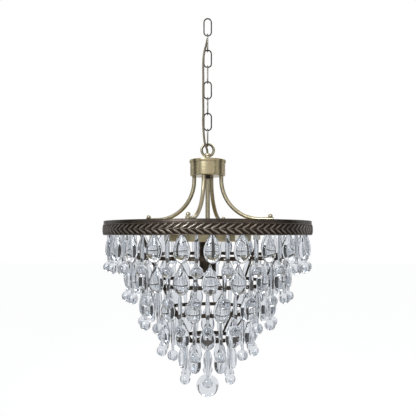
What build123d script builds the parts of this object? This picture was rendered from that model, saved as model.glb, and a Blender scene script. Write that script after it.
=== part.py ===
"""Tiered glass-drop pendant light: a chain, a brass cap with four bent arms, an embossed rim and four hoops below it.

Units are millimetres. +Z is up and the origin is where a hook bears inside the top chain link, so every level is
negative. A bearing is an angle in degrees about Z, counted from the front (-Y) towards the right (+X).
"""

from build123d import *
import math
import os

# ---- fits ------------------------------------------------------------------------------------------------------------
hang_gap = 0.3          # between a hanging piece and the round wire or hole that carries it
screw_gap = 0.1         # radial, between a threaded piece and its bore
seat_gap = 0.1          # between a round tube and the flat that it lies on

# ---- chain -----------------------------------------------------------------------------------------------------------
link_count = 8
link_wire = 3.0
link_inside_length = 35.1
link_width = 19.4

# ---- suspension loop -------------------------------------------------------------------------------------------------
loop_wire = 6.0
loop_diameter = 32.9
loop_hub_diameter = 15.0
loop_hub_height = 7.0
loop_hub_lift = 3.4     # underside of the hub above the lowest point of the ring
loop_neck_diameter = 11.0
loop_neck_height = 5.1
loop_spigot_diameter = 10.0
loop_spigot_length = 15.6

# ---- supply cord -----------------------------------------------------------------------------------------------------
cord_diameter = 4.8
cord_clearance = 0.3
cord_bend = 0.45        # share of the shorter run that a bend takes up
cord_route = [          # x, y and the height above the lid of the cap
    (0.0, 0.0, 7.4),
    (0.0, 0.0, 20.9),
    (-6.6, -7.0, 34.7),
    (-8.9, -6.6, 58.5),
    (-10.4, -5.6, 83.0),
    (-9.3, -5.2, 109.0),
    (-10.1, -5.5, 142.0),
    (-9.5, -5.1, 178.0),
    (-10.0, -5.3, 204.0),
    (-9.4, -5.5, 224.0),
    (-6.7, -5.1, 241.0),
    (-2.6, -2.6, 255.0),
    (-0.5, -0.1, 267.5),
]

# ---- cap -------------------------------------------------------------------------------------------------------------
cap_diameter = 77.6
cap_wall = 1.2
cap_floor = 1.5
cap_height = 34.2
cap_foot_radius = 2.0
lid_diameter = 80.7
lid_height = 6.7
lid_plate = 1.5
lid_gap = 0.1
connector_diameter = 10.0
connector_tip = 6.0
connector_height = 18.0
connector_radius = 24.0

# ---- stem ------------------------------------------------------------------------------------------------------------
stem_diameter = 10.0
stem_bore = 6.0
coupling_nut_size = 17.0
coupling_nut_length = 28.0
lock_ring_diameter = 12.0
lock_ring_height = 5.8
stem_nut_height = 6.0

# ---- arms ------------------------------------------------------------------------------------------------------------
arm_count = 4
arm_bearing = 74.0
arm_diameter = 9.0
arm_bore = 6.6
arm_start_radius = 31.0
arm_bend_radius = 88.0
arm_end_radius = 146.0
arm_fall = 95.6         # from the floor of the cap to the axis of the level end
arm_inside_cap = 9.0
arm_nut_diameter = 11.4
arm_nut_height = 4.0
arm_screw_radius = 139.5
arm_screw_diameter = 4.0
arm_screw_head = 7.5
arm_screw_head_height = 2.2
acorn_diameter = 9.6
acorn_skirt = 2.0

# ---- rim -------------------------------------------------------------------------------------------------------------
rim_diameter = 457.0
rim_height = 30.0
rim_sheet = 1.6
rim_crown = 1.6         # how far the middle of the band bulges past its edges
rim_strip_height = 7.0
rim_strip_setback = 0.9
spoke_width = 12.0
spoke_thickness = 2.5
spoke_inner_radius = 128.0
spoke_tab = 6.5

# ---- pan and column --------------------------------------------------------------------------------------------------
pan_diameter = 192.0
pan_height = 22.0
pan_sheet = 1.2
pan_edge_radius = 4.0
pan_below_rim = 13.7    # underside of the pan below the lower edge of the rim
cover_gap = 0.3
column_diameter = 37.0
column_length = 68.0
column_wall = 1.5
column_floor = 3.0
column_foot_radius = 3.0
rod_diameter = 4.0
rod_head_diameter = 10.0
rod_head_height = 3.0

# ---- lampholders -----------------------------------------------------------------------------------------------------
lamp_count = 4
lamp_bearing = 29.0
lamp_radius = 130.0
lamp_mouth_above_pan = 3.0
lamp_body_diameter = 17.0
lamp_body_height = 30.0
lamp_lip = 2.0
lamp_shell_bore = 12.3
lamp_shell_wall = 0.6
lamp_shell_length = 22.0
lamp_collar_diameter = 20.0
lamp_collar_height = 8.0
lamp_collar_level = 15.0   # middle of the collar above the mouth
lamp_tube_diameter = 6.0
lamp_tube_bore = 4.0
lead_diameter = 2.4
lead_inner_radius = 80.0

# ---- tiers of drops: share of the rim's radius, fall below the rim's lower edge, drops of each kind, first bearing ------
tier_shares = [0.941, 0.7702, 0.6214, 0.4464, 0.2451]
tier_radii = [round(rim_diameter / 2 * share, 1) for share in tier_shares]
tier_falls = [-17.8, 45.2, 103.7, 163.7, 224.2]
tier_drops = [24, 20, 16, 12, 6]
tier_bearings = [2.3, 1.5, 11.25, 0.0, 30.0]
hoop_sheet = 1.5
hoop_height = 8.0
hoop_hole = 3.0
hoop_hole_drop = 0.9    # holes sit this much below the middle of the hoop
strap_width = 5.0
strap_sheet = 1.5
strap_bearing = 51.0
strap_count = 4

# ---- drops -----------------------------------------------------------------------------------------------------------
hook_wire = 1.2
hook_radius = 6.0
drop_hole = 2.4
drop_hole_depth = 3.3   # hole below the apex
drop_tip_radius = 1.0
almond_width = 33.0
almond_thickness = 18.0
almond_length = 59.5
almond_widest = 37.5
ball_drop_length = 87.0
ball_drop_ball = 23.5
ball_drop_body = 9.0
ball_drop_waist = 5.6

# ---- foot ------------------------------------------------------------------------------------------------------------
spider_boss_diameter = 12.0
spider_boss_height = 8.0
spider_bar_width = 6.0
spider_bar_thickness = 2.0
spider_bearing = 45.0
eye_nut_diameter = 9.0
eye_nut_height = 6.0
eye_wire = 1.8
eye_radius = 3.5
foot_hook_wire = 1.4
foot_hook_radius = 6.0
pendant_length = 108.2
pendant_ball = 50.3
pendant_body = 21.0
pendant_waist = 7.0
pendant_waist_depth = 54.0

# ---- levels and sizes that follow ------------------------------------------------------------------------------------
link_pitch = link_inside_length - hang_gap
loop_ring_radius = (loop_diameter - loop_wire) / 2
loop_centre = -link_count * link_pitch - loop_ring_radius + loop_wire / 2
loop_foot = loop_centre - loop_diameter / 2
lid_top = loop_foot - loop_neck_height
lid_underside = lid_top - lid_plate
cap_foot = lid_underside - cap_height
cap_deck = cap_foot + cap_floor
arm_level = cap_foot - arm_fall
rim_top = arm_level - arm_diameter / 2 - seat_gap
rim_foot = rim_top - rim_height
spoke_foot = rim_top - spoke_thickness
strip_foot = rim_top - rim_strip_height
rim_inside = rim_diameter / 2 - rim_crown - rim_strip_setback - rim_sheet
pan_foot = rim_foot - pan_below_rim
pan_top = pan_foot + pan_height
column_foot = pan_foot - column_length
lamp_mouth = pan_foot + lamp_mouth_above_pan
tier_levels = [rim_foot - fall for fall in tier_falls]
hook_top = -hoop_hole_drop - hoop_hole / 2 + hang_gap + hook_wire / 2
hook_foot = hook_top - 2 * hook_radius
drop_hole_level = hook_foot + hook_wire / 2 + hang_gap - drop_hole / 2
drop_apex = drop_hole_level + drop_hole_depth
foot_hoop_level = tier_levels[-1]
spider_foot = foot_hoop_level - spider_boss_height / 2
eye_nut_foot = spider_foot - eye_nut_height
eye_centre = eye_nut_foot - eye_radius
foot_hook_top = eye_centre - eye_radius + eye_wire / 2 + hang_gap + foot_hook_wire / 2
foot_hook_foot = foot_hook_top - 2 * foot_hook_radius
pendant_hole_level = foot_hook_foot + foot_hook_wire / 2 + hang_gap - drop_hole / 2
pendant_apex = pendant_hole_level + drop_hole_depth


def place(shape, bearing):
    """Turns a shape that was made along +X to a bearing."""
    return Rot(0, 0, bearing - 90) * shape


def around(shape, count, first_bearing):
    """Copies a shape that was made along +X to evenly spaced bearings."""
    return [place(shape, first_bearing + i * 360 / count) for i in range(count)]


def post(diameter, bottom, top, x=0.0, y=0.0):
    """A round solid between two levels."""
    cylinder = Cylinder(diameter / 2, top - bottom, align=(Align.CENTER, Align.CENTER, Align.MIN))
    return Pos(x, y, bottom) * cylinder


def upright_torus(ring_radius, wire, centre, across=False):
    """A wire ring that stands in the XZ plane, or in the YZ plane if it lies across."""
    ring = Rot(0, 90, 0) * Torus(ring_radius, wire / 2) if across else Rot(90, 0, 0) * Torus(ring_radius, wire / 2)
    return Pos(0, 0, centre) * ring


def turned(*lines):
    """A solid of revolution about Z from lines drawn in the XZ plane on the +X side."""
    edges = [edge for line in lines for edge in line.edges()]
    return revolve(make_face(edges), axis=Axis.Z)


def tube_along(path, diameter):
    """A round bar that follows a path."""
    return sweep(Plane(origin=path @ 0, z_dir=path % 0) * Circle(diameter / 2), path=path)


def chain_link(number):
    """One link; odd ones face the front and even ones lie edge-on to it."""
    bend = (link_width - link_wire) / 2
    upper = -(number - 1) * link_pitch + link_wire / 2 - bend
    lower = -(number - 1) * link_pitch - link_inside_length - link_wire / 2 + bend
    section = Plane.XY * Pos(bend, 0, 0) * Circle(link_wire / 2)
    half_ring = revolve(section, axis=Axis.Y, revolution_arc=180)
    top_bend = Pos(0, 0, upper) * half_ring
    if top_bend.center().Z < upper:
        top_bend = Pos(0, 0, upper) * Rot(180, 0, 0) * half_ring
    bottom_bend = Pos(0, 0, lower) * Rot(180, 0, 0) * Pos(0, 0, -upper) * top_bend
    left_leg = post(link_wire, lower, upper, x=-bend)
    right_leg = post(link_wire, lower, upper, x=bend)
    link = top_bend + bottom_bend + left_leg + right_leg
    return Rot(0, 0, 90) * link if number % 2 == 0 else link


def suspension_loop():
    """Cast ring with a domed hub, a neck on the lid and a spigot that passes into the cap."""
    hub_foot = loop_foot + loop_hub_lift
    hub_top = hub_foot + loop_hub_height
    hub = post(loop_hub_diameter, hub_foot, hub_top)
    hub = fillet(hub.edges().group_by(Axis.Z)[-1], loop_hub_height * 0.6)
    hub = chamfer(hub.edges().group_by(Axis.Z)[0], 1.5)
    neck = post(loop_neck_diameter, lid_top, hub_foot + 1)
    spigot = post(loop_spigot_diameter, lid_top - loop_spigot_length, lid_top)
    ring = upright_torus(loop_ring_radius, loop_wire, loop_centre)
    bore = post(cord_diameter + 2 * cord_clearance, lid_top - loop_spigot_length - 1, hub_top + 1)
    return ring + hub + neck + spigot - bore


def cord_path():
    """Straight runs joined by tangent arcs, each as large as its two runs allow."""
    points = [Vector(x, y, lid_top + z) for x, y, z in cord_route]
    radii = []
    for before, corner, after in zip(points, points[1:], points[2:]):
        turn = (corner - before).get_angle(after - corner)
        shorter = min((corner - before).length, (after - corner).length)
        radii.append(cord_bend * shorter / math.tan(math.radians(turn / 2)))
    print("cord bend radii, mm:", [round(radius, 1) for radius in radii])
    return FilletPolyline(*points, radius=radii)


def supply_cord():
    """The jacketed supply cord, laced up beside the chain."""
    path = cord_path()
    cord = tube_along(path, cord_diameter)
    section = math.pi * cord_diameter**2 / 4
    print("cord length, mm:", round(path.length, 1), "volume over section times length:",
          round(cord.volume / (section * path.length), 4))
    return cord


def cap_lid():
    """Spun lid: a flat plate with a rolled skirt that overhangs the shell."""
    skirt_foot = lid_top - lid_height
    lid = post(lid_diameter, skirt_foot, lid_top)
    lid = fillet(lid.edges().group_by(Axis.Z)[-1], lid_plate)
    hollow = post(cap_diameter + 2 * lid_gap, skirt_foot - 1, lid_underside)
    return lid - hollow - post(loop_spigot_diameter + 2 * screw_gap, lid_underside - 1, lid_top + 1)


def cap_shell():
    """Spun cup, open at the top, pierced for the stem and the four arms."""
    shell = post(cap_diameter, cap_foot, lid_underside)
    shell = fillet(shell.edges().group_by(Axis.Z)[0], cap_foot_radius)
    inside = post(cap_diameter - 2 * cap_wall, cap_deck, lid_underside + 1)
    shell = shell - fillet(inside.edges().group_by(Axis.Z)[0], cap_foot_radius - cap_wall)
    shell = shell - post(stem_diameter + 2 * screw_gap, cap_foot - 1, cap_deck + 1)
    arm_hole = post(arm_diameter + 2 * screw_gap, cap_foot - 1, cap_deck + 1, x=arm_start_radius)
    return shell - around(arm_hole, arm_count, arm_bearing)


def wire_connectors():
    """Two screw-on connectors that stand on the floor of the cap, where the cord meets the lamp leads."""
    cone = Cone(connector_diameter / 2, connector_tip / 2, connector_height,
                align=(Align.CENTER, Align.CENTER, Align.MIN))
    return around(Pos(connector_radius, 0, cap_deck) * cone, 2, arm_bearing + 180 / arm_count)


def coupling_nut():
    """Long hexagon nut inside the cap, which joins the loop's spigot to the stem."""
    nut_foot = lid_underside - coupling_nut_length
    hexagon = Plane.XY.offset(nut_foot) * RegularPolygon(coupling_nut_size / 2, 6, major_radius=False)
    return extrude(hexagon, coupling_nut_length) - post(stem_diameter + 2 * screw_gap, nut_foot - 1, lid_underside + 1)


def center_stem():
    """Tube that carries the pan."""
    top = lid_top - loop_spigot_length - screw_gap
    foot = pan_foot - stem_nut_height
    return post(stem_diameter, foot, top) - post(stem_bore, foot - 1, top + 1)


def stem_lock_ring():
    """Black ring that locks the stem under the floor of the cap."""
    ring = post(lock_ring_diameter, cap_foot - lock_ring_height, cap_foot)
    return ring - post(stem_diameter + 2 * screw_gap, cap_foot - lock_ring_height - 1, cap_foot + 1)


def stem_nut():
    """Round flange nut under the pan, over which the column slides."""
    nut = post(column_diameter - 2 * column_wall - 2 * screw_gap, pan_foot - stem_nut_height, pan_foot)
    return nut - post(stem_diameter + 2 * screw_gap, pan_foot - stem_nut_height - 1, pan_foot + 1)


def arm():
    """Bent tube from the cap to a spoke of the rim, drilled for its end screw."""
    top = Vector(arm_start_radius, 0, cap_deck + arm_inside_cap)
    bend_top = Vector(arm_start_radius, 0, arm_level + arm_bend_radius)
    bend_foot = Vector(arm_start_radius + arm_bend_radius, 0, arm_level)
    tip = Vector(arm_end_radius, 0, arm_level)
    path = Wire([Line(top, bend_top), TangentArc(bend_top, bend_foot, tangent=(0, 0, -1)), Line(bend_foot, tip)])
    tube = tube_along(path, arm_diameter) - tube_along(path, arm_bore)
    screw_hole = post(arm_screw_diameter + 2 * screw_gap, spoke_foot, arm_level + arm_diameter, x=arm_screw_radius)
    return tube - screw_hole


def arm_nuts():
    """Lock nuts on the arms' upper ends, inside the cap."""
    nut = post(arm_nut_diameter, cap_deck, cap_deck + arm_nut_height, x=arm_start_radius)
    bore = post(arm_diameter + 2 * screw_gap, cap_deck - 1, cap_deck + arm_nut_height + 1, x=arm_start_radius)
    return around(nut - bore, arm_count, arm_bearing)


def arm_screws():
    """Screws that come up through the spokes and the arms' level ends."""
    top = arm_level + arm_diameter / 2 + acorn_skirt
    screw = post(arm_screw_diameter, spoke_foot, top, x=arm_screw_radius)
    head = post(arm_screw_head, spoke_foot - arm_screw_head_height, spoke_foot, x=arm_screw_radius)
    return around(screw + head, arm_count, arm_bearing)


def acorn_nuts():
    """Domed nuts on the arms' level ends."""
    foot = arm_level + arm_diameter / 2 + seat_gap
    nut = post(acorn_diameter, foot, foot + acorn_skirt, x=arm_screw_radius)
    dome = Pos(arm_screw_radius, 0, foot + acorn_skirt) * Sphere(acorn_diameter / 2)
    dome = dome & post(acorn_diameter, foot + acorn_skirt, foot + acorn_diameter, x=arm_screw_radius)
    bore = post(arm_screw_diameter + 2 * screw_gap, foot - 1, foot + acorn_skirt + screw_gap, x=arm_screw_radius)
    return around(nut + dome - bore, arm_count, arm_bearing)


def rim_band():
    """Pressed band: a bulged face below and a narrow upright strip above, set back from it."""
    edge = rim_diameter / 2 - rim_crown
    middle = (rim_foot + strip_foot) / 2
    strip = edge - rim_strip_setback
    return turned(
        ThreePointArc((edge, 0, rim_foot), (rim_diameter / 2, 0, middle), (edge, 0, strip_foot)),
        Polyline(
            (edge, 0, strip_foot),
            (strip, 0, strip_foot),
            (strip, 0, rim_top),
            (rim_inside, 0, rim_top),
            (rim_inside, 0, strip_foot - rim_sheet),
            (edge - rim_sheet, 0, strip_foot - rim_sheet),
        ),
        ThreePointArc(
            (edge - rim_sheet, 0, strip_foot - rim_sheet),
            (rim_diameter / 2 - rim_sheet, 0, middle),
            (edge - rim_sheet, 0, rim_foot),
        ),
        Line((edge - rim_sheet, 0, rim_foot), (edge, 0, rim_foot)),
    )


def rim_spokes():
    """Flat bars from the arms' ends to the rim, each with a tab turned down against the band."""
    length = rim_inside + 1 - spoke_inner_radius
    bar = Box(length, spoke_width, spoke_thickness, align=(Align.MIN, Align.CENTER, Align.MAX))
    tab = Box(spoke_thickness + 1, spoke_width, spoke_tab, align=(Align.MIN, Align.CENTER, Align.MAX))
    spoke = Pos(spoke_inner_radius, 0, rim_top) * bar + Pos(rim_inside - spoke_thickness, 0, rim_top) * tab
    spoke = spoke & post(2 * rim_inside, rim_foot, rim_top + 1)
    screw_hole = post(arm_screw_diameter + 2 * screw_gap, spoke_foot - 1, rim_top + 1, x=arm_screw_radius)
    return around(spoke - screw_hole, arm_count, arm_bearing)


def hoop(tier):
    """Flat strip rolled into a ring and pierced for the hooks; the top one reaches up to the spokes."""
    radius = tier_radii[tier]
    level = tier_levels[tier]
    foot = level - hoop_height / 2
    top = spoke_foot if tier == 0 else level + hoop_height / 2
    ring = post(2 * radius + hoop_sheet, foot, top) - post(2 * radius - hoop_sheet, foot - 1, top + 1)
    drill = Pos(radius, 0, level - hoop_hole_drop) * Rot(0, 90, 0) * Cylinder(hoop_hole / 2, 4 * hoop_sheet)
    return ring - around(drill, 2 * tier_drops[tier], tier_bearings[tier])


def straps(tier):
    """Flat straps from the inside of one hoop to the outside of the next one down."""
    upper = tier_radii[tier] - hoop_sheet / 2 - strap_sheet / 2
    lower = tier_radii[tier + 1] + hoop_sheet / 2 + strap_sheet / 2
    upper_level = tier_levels[tier]
    lower_level = tier_levels[tier + 1]
    half = hoop_height / 2
    route = Polyline((upper, 0, upper_level + half), (upper, 0, upper_level - half),
                     (lower, 0, lower_level + half), (lower, 0, lower_level - half))
    profile = make_face(offset(route, strap_sheet / 2, side=Side.BOTH, kind=Kind.INTERSECTION))
    strap = extrude(profile, strap_width / 2, both=True)
    keep_in = post(2 * tier_radii[tier] - hoop_sheet, lower_level - hoop_height, upper_level + hoop_height)
    keep_out = post(2 * tier_radii[tier + 1] + hoop_sheet, lower_level - hoop_height, lower_level + half)
    return around((strap & keep_in) - keep_out, strap_count, strap_bearing)


def hub_pan():
    """Spun pan that the stem carries, pierced at its side for the lampholder tubes."""
    pan = post(pan_diameter, pan_foot, pan_top)
    pan = fillet(pan.edges().group_by(Axis.Z)[0], pan_edge_radius)
    inside = post(pan_diameter - 2 * pan_sheet, pan_foot + pan_sheet, pan_top + 1)
    pan = pan - fillet(inside.edges().group_by(Axis.Z)[0], pan_edge_radius - pan_sheet)
    side_hole = Rot(0, 90, 0) * Cylinder(lamp_tube_bore / 2, 8 * pan_sheet)
    side_hole = Pos(pan_diameter / 2, 0, lamp_mouth + lamp_collar_level) * side_hole
    pan = pan - around(side_hole, lamp_count, lamp_bearing)
    return pan - post(stem_diameter + 2 * screw_gap, pan_foot - 1, pan_foot + 2 * pan_sheet)


def pan_cover():
    """Flat disc that closes the pan, let in level with its edge."""
    radius = pan_diameter / 2 - pan_sheet - cover_gap
    cover = post(2 * radius, pan_top - pan_sheet, pan_top)
    return cover - post(stem_diameter + 2 * screw_gap, pan_top - 2 * pan_sheet, pan_top + 1)


def lamp_arms():
    """Short side tubes from the pan, each brazed to a collar that grips a lampholder."""
    level = lamp_mouth + lamp_collar_level
    collar_foot = level - lamp_collar_height / 2
    collar = post(lamp_collar_diameter, collar_foot, collar_foot + lamp_collar_height, x=lamp_radius)
    holder = post(lamp_body_diameter + 2 * screw_gap, collar_foot - 1, collar_foot + lamp_collar_height + 1,
                  x=lamp_radius)
    length = lamp_radius - pan_diameter / 2
    tube = Cylinder(lamp_tube_diameter / 2, length, align=(Align.CENTER, Align.CENTER, Align.MIN))
    bore = Cylinder(lamp_tube_bore / 2, length + 1, align=(Align.CENTER, Align.CENTER, Align.MIN))
    outward = Pos(pan_diameter / 2 - 1, 0, level) * Rot(0, 90, 0)
    lamp_arm = outward * tube + collar - outward * bore - holder
    lamp_arm = lamp_arm - post(pan_diameter, pan_foot, pan_top + 1)
    return around(lamp_arm, lamp_count, lamp_bearing)


def lampholder(bearing):
    """Moulded candle-size holder that opens downwards."""
    body = post(lamp_body_diameter, lamp_mouth, lamp_mouth + lamp_body_height, x=lamp_radius)
    body = fillet(body.edges().group_by(Axis.Z)[-1], lamp_lip)
    shell_diameter = lamp_shell_bore + 2 * lamp_shell_wall + 2 * screw_gap
    inside = post(shell_diameter, lamp_mouth - 1, lamp_mouth + lamp_lip + lamp_shell_length, x=lamp_radius)
    lead_hole = Pos(lamp_radius - lamp_body_diameter / 2, 0, lamp_mouth + lamp_collar_level) * Rot(0, 90, 0)
    lead_hole = lead_hole * Cylinder(lamp_tube_bore / 2, lamp_body_diameter / 2)
    return place(body - inside - lead_hole, bearing)


def lamp_shells():
    """Brass screw shells inside the holders, which take the lamp's base."""
    foot = lamp_mouth + lamp_lip
    shell = post(lamp_shell_bore + 2 * lamp_shell_wall, foot, foot + lamp_shell_length, x=lamp_radius)
    bore = post(lamp_shell_bore, foot - 1, foot + lamp_shell_length + 1, x=lamp_radius)
    return around(shell - bore, lamp_count, lamp_bearing)


def lamp_leads():
    """Leads that run from inside the pan through the side tubes to the holders."""
    reach = lamp_radius - lamp_shell_bore / 2 - lamp_shell_wall - screw_gap - hang_gap
    lead = Cylinder(lead_diameter / 2, reach - lead_inner_radius, align=(Align.CENTER, Align.CENTER, Align.MIN))
    level = lamp_mouth + lamp_collar_level
    return around(Pos(lead_inner_radius, 0, level) * Rot(0, 90, 0) * lead, lamp_count, lamp_bearing)


def centre_column():
    """Turned cup below the pan; its floor carries the rod."""
    column = post(column_diameter, column_foot, pan_foot)
    column = fillet(column.edges().group_by(Axis.Z)[0], column_foot_radius)
    column = column - post(column_diameter - 2 * column_wall, column_foot + column_floor, pan_foot + 1)
    return column - post(rod_diameter + 2 * screw_gap, column_foot - 1, column_foot + 2 * column_floor)


def centre_rod():
    """Thin rod with a head that rests on the column's floor and a foot in the eye nut."""
    deck = column_foot + column_floor
    rod = post(rod_diameter, eye_nut_foot + eye_nut_height / 2, deck)
    return rod + post(rod_head_diameter, deck, deck + rod_head_height)


def foot_spider():
    """Boss and four bars that hold the lowest hoop to the rod."""
    boss = post(spider_boss_diameter, spider_foot, spider_foot + spider_boss_height)
    length = tier_radii[-1]
    bar = Pos(length / 2, 0, foot_hoop_level) * Box(length, spider_bar_width, spider_bar_thickness)
    spider = boss + around(bar, 4, spider_bearing)
    inside_hoop = post(2 * tier_radii[-1] - hoop_sheet, spider_foot, spider_foot + spider_boss_height)
    bore = post(rod_diameter + 2 * screw_gap, spider_foot - 1, spider_foot + spider_boss_height + 1)
    return (spider & inside_hoop) - bore


def foot_eye():
    """Nut under the spider with an eye below it, facing the front."""
    nut = post(eye_nut_diameter, eye_nut_foot, spider_foot)
    eye = upright_torus(eye_radius, eye_wire, eye_centre)
    rod_hole = post(rod_diameter + 2 * screw_gap, eye_nut_foot + eye_nut_height / 2 - screw_gap, spider_foot + 1)
    return nut + eye - rod_hole


def foot_hook():
    """Wire ring that joins the eye to the pendant."""
    return upright_torus(foot_hook_radius, foot_hook_wire, foot_hook_top - foot_hook_radius, across=True)


def drop_tip(half_width, depth):
    """Outline of a drop's rounded tip, from the apex to a half width at a depth."""
    return Bezier((0, 0, 0), (drop_tip_radius, 0, 0), (half_width * 0.8, 0, -depth * 0.5), (half_width, 0, -depth))


def almond():
    """Flattened teardrop, broad face outwards, with its apex at the origin and a radial hole."""
    half = almond_width / 2
    throat = drop_hole_depth
    throat_half = 3.2
    belly = almond_length - almond_widest
    round_drop = turned(
        drop_tip(throat_half, throat),
        Bezier((throat_half, 0, -throat), (throat_half * 1.5, 0, -2.5 * throat),
               (half, 0, -almond_widest * 0.6), (half, 0, -almond_widest)),
        Bezier((half, 0, -almond_widest), (half, 0, -almond_widest - 0.56 * belly),
               (0.56 * half, 0, -almond_length), (0, 0, -almond_length)),
        Line((0, 0, -almond_length), (0, 0, 0)),
    )
    flat = scale(round_drop, by=(almond_thickness / almond_width, 1, 1))
    return flat - drop_bore()


def ball_drop():
    """Slender stem with a waist above a ball, apex at the origin, with a radial hole."""
    radius = ball_drop_ball / 2
    throat = drop_hole_depth
    throat_half = 2.1
    body = ball_drop_body / 2
    waist = ball_drop_waist / 2
    centre = ball_drop_length - radius
    waist_depth = centre - math.sqrt(radius**2 - waist**2)
    body_depth = waist_depth * 0.45
    drop = turned(
        drop_tip(throat_half, throat),
        Bezier((throat_half, 0, -throat), (throat_half * 1.3, 0, -2 * throat),
               (body, 0, -body_depth * 0.7), (body, 0, -body_depth)),
        Bezier((body, 0, -body_depth), (body, 0, -(body_depth + waist_depth) / 2),
               (waist, 0, -waist_depth * 0.85), (waist, 0, -waist_depth)),
        ThreePointArc((waist, 0, -waist_depth), (radius, 0, -centre), (0, 0, -ball_drop_length)),
        Line((0, 0, -ball_drop_length), (0, 0, 0)),
    )
    return drop - drop_bore()


def foot_pendant():
    """The large centre pendant: a fuller stem with a waist above a big ball; its hole runs front to back."""
    radius = pendant_ball / 2
    throat = drop_hole_depth
    throat_half = 2.1
    body = pendant_body / 2
    waist = pendant_waist / 2
    centre = pendant_length - radius
    waist_end = centre - math.sqrt(radius**2 - waist**2)
    body_depth = pendant_waist_depth * 0.45
    drop = turned(
        drop_tip(throat_half, throat),
        Bezier((throat_half, 0, -throat), (throat_half * 1.6, 0, -2 * throat),
               (body, 0, -body_depth * 0.6), (body, 0, -body_depth)),
        Bezier((body, 0, -body_depth), (body, 0, -(body_depth + pendant_waist_depth) / 2),
               (waist, 0, -pendant_waist_depth * 0.8), (waist, 0, -pendant_waist_depth)),
        Line((waist, 0, -pendant_waist_depth), (waist, 0, -waist_end)),
        ThreePointArc((waist, 0, -waist_end), (radius, 0, -centre), (0, 0, -pendant_length)),
        Line((0, 0, -pendant_length), (0, 0, 0)),
    )
    return Pos(0, 0, pendant_apex) * Rot(0, 0, 90) * (drop - drop_bore())


def drop_bore():
    """Drill for a drop's hanging hole, along X."""
    return Pos(0, 0, -drop_hole_depth) * Rot(0, 90, 0) * Cylinder(drop_hole / 2, 4 * drop_hole_depth)


def hang(tier, drop, offset_share):
    """Copies of a drop under every second hole of a hoop."""
    step = 360 / tier_drops[tier]
    hung = Pos(tier_radii[tier], 0, tier_levels[tier] + drop_apex) * drop
    return around(hung, tier_drops[tier], tier_bearings[tier] + offset_share * step)


def hooks(tier):
    """Wire rings through the holes of a hoop and of its drops."""
    ring = upright_torus(hook_radius, hook_wire, tier_levels[tier] + hook_top - hook_radius)
    return around(Pos(tier_radii[tier], 0, 0) * ring, 2 * tier_drops[tier], tier_bearings[tier])


def build():
    """Every node by name."""
    nodes = {f"chain_link_{i}": chain_link(i) for i in range(1, link_count + 1)}
    nodes["suspension_loop"] = suspension_loop()
    nodes["supply_cord"] = supply_cord()
    nodes["cap_lid"] = cap_lid()
    nodes["cap_shell"] = cap_shell()
    nodes["wire_connectors"] = wire_connectors()
    nodes["coupling_nut"] = coupling_nut()
    nodes["center_stem"] = center_stem()
    nodes["stem_lock_ring"] = stem_lock_ring()
    nodes["stem_nut"] = stem_nut()
    bent_arm = arm()
    for i, name in enumerate(["arm_right", "arm_back", "arm_left", "arm_front"]):
        nodes[name] = place(bent_arm, arm_bearing + i * 360 / arm_count)
    nodes["arm_nuts"] = arm_nuts()
    nodes["arm_screws"] = arm_screws()
    nodes["acorn_nuts"] = acorn_nuts()
    nodes["rim_band"] = rim_band()
    nodes["rim_spokes"] = rim_spokes()
    nodes["hub_pan"] = hub_pan()
    nodes["pan_cover"] = pan_cover()
    nodes["lamp_arms"] = lamp_arms()
    for i in range(lamp_count):
        nodes[f"lampholder_{i + 1}"] = lampholder(lamp_bearing + i * 360 / lamp_count)
    nodes["lamp_shells"] = lamp_shells()
    nodes["lamp_leads"] = lamp_leads()
    nodes["centre_column"] = centre_column()
    nodes["centre_rod"] = centre_rod()
    last = len(tier_radii) - 1
    almond_shape = almond()
    ball_shape = ball_drop()
    for tier in range(last + 1):
        nodes[f"hoop_{tier + 1}"] = hoop(tier)
        nodes[f"almond_drops_{tier + 1}"] = hang(tier, almond_shape, 0)
        nodes[f"ball_drops_{tier + 1}"] = hang(tier, ball_shape, 0.5)
    nodes["straps"] = [strap for tier in range(last) for strap in straps(tier)]
    nodes["drop_hooks"] = [hook for tier in range(last + 1) for hook in hooks(tier)]
    nodes["foot_spider"] = foot_spider()
    nodes["foot_eye"] = foot_eye()
    nodes["foot_hook"] = foot_hook()
    nodes["foot_pendant"] = foot_pendant()
    return nodes


os.makedirs("parts", exist_ok=True)
for node, shape in build().items():
    solids = shape if isinstance(shape, list) else [shape]
    export_step(solids[0] if len(solids) == 1 else Compound(children=solids), f"parts/{node}.step")
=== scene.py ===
import math
import random

import bmesh
import bpy
from mathutils import Matrix, Vector


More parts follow.
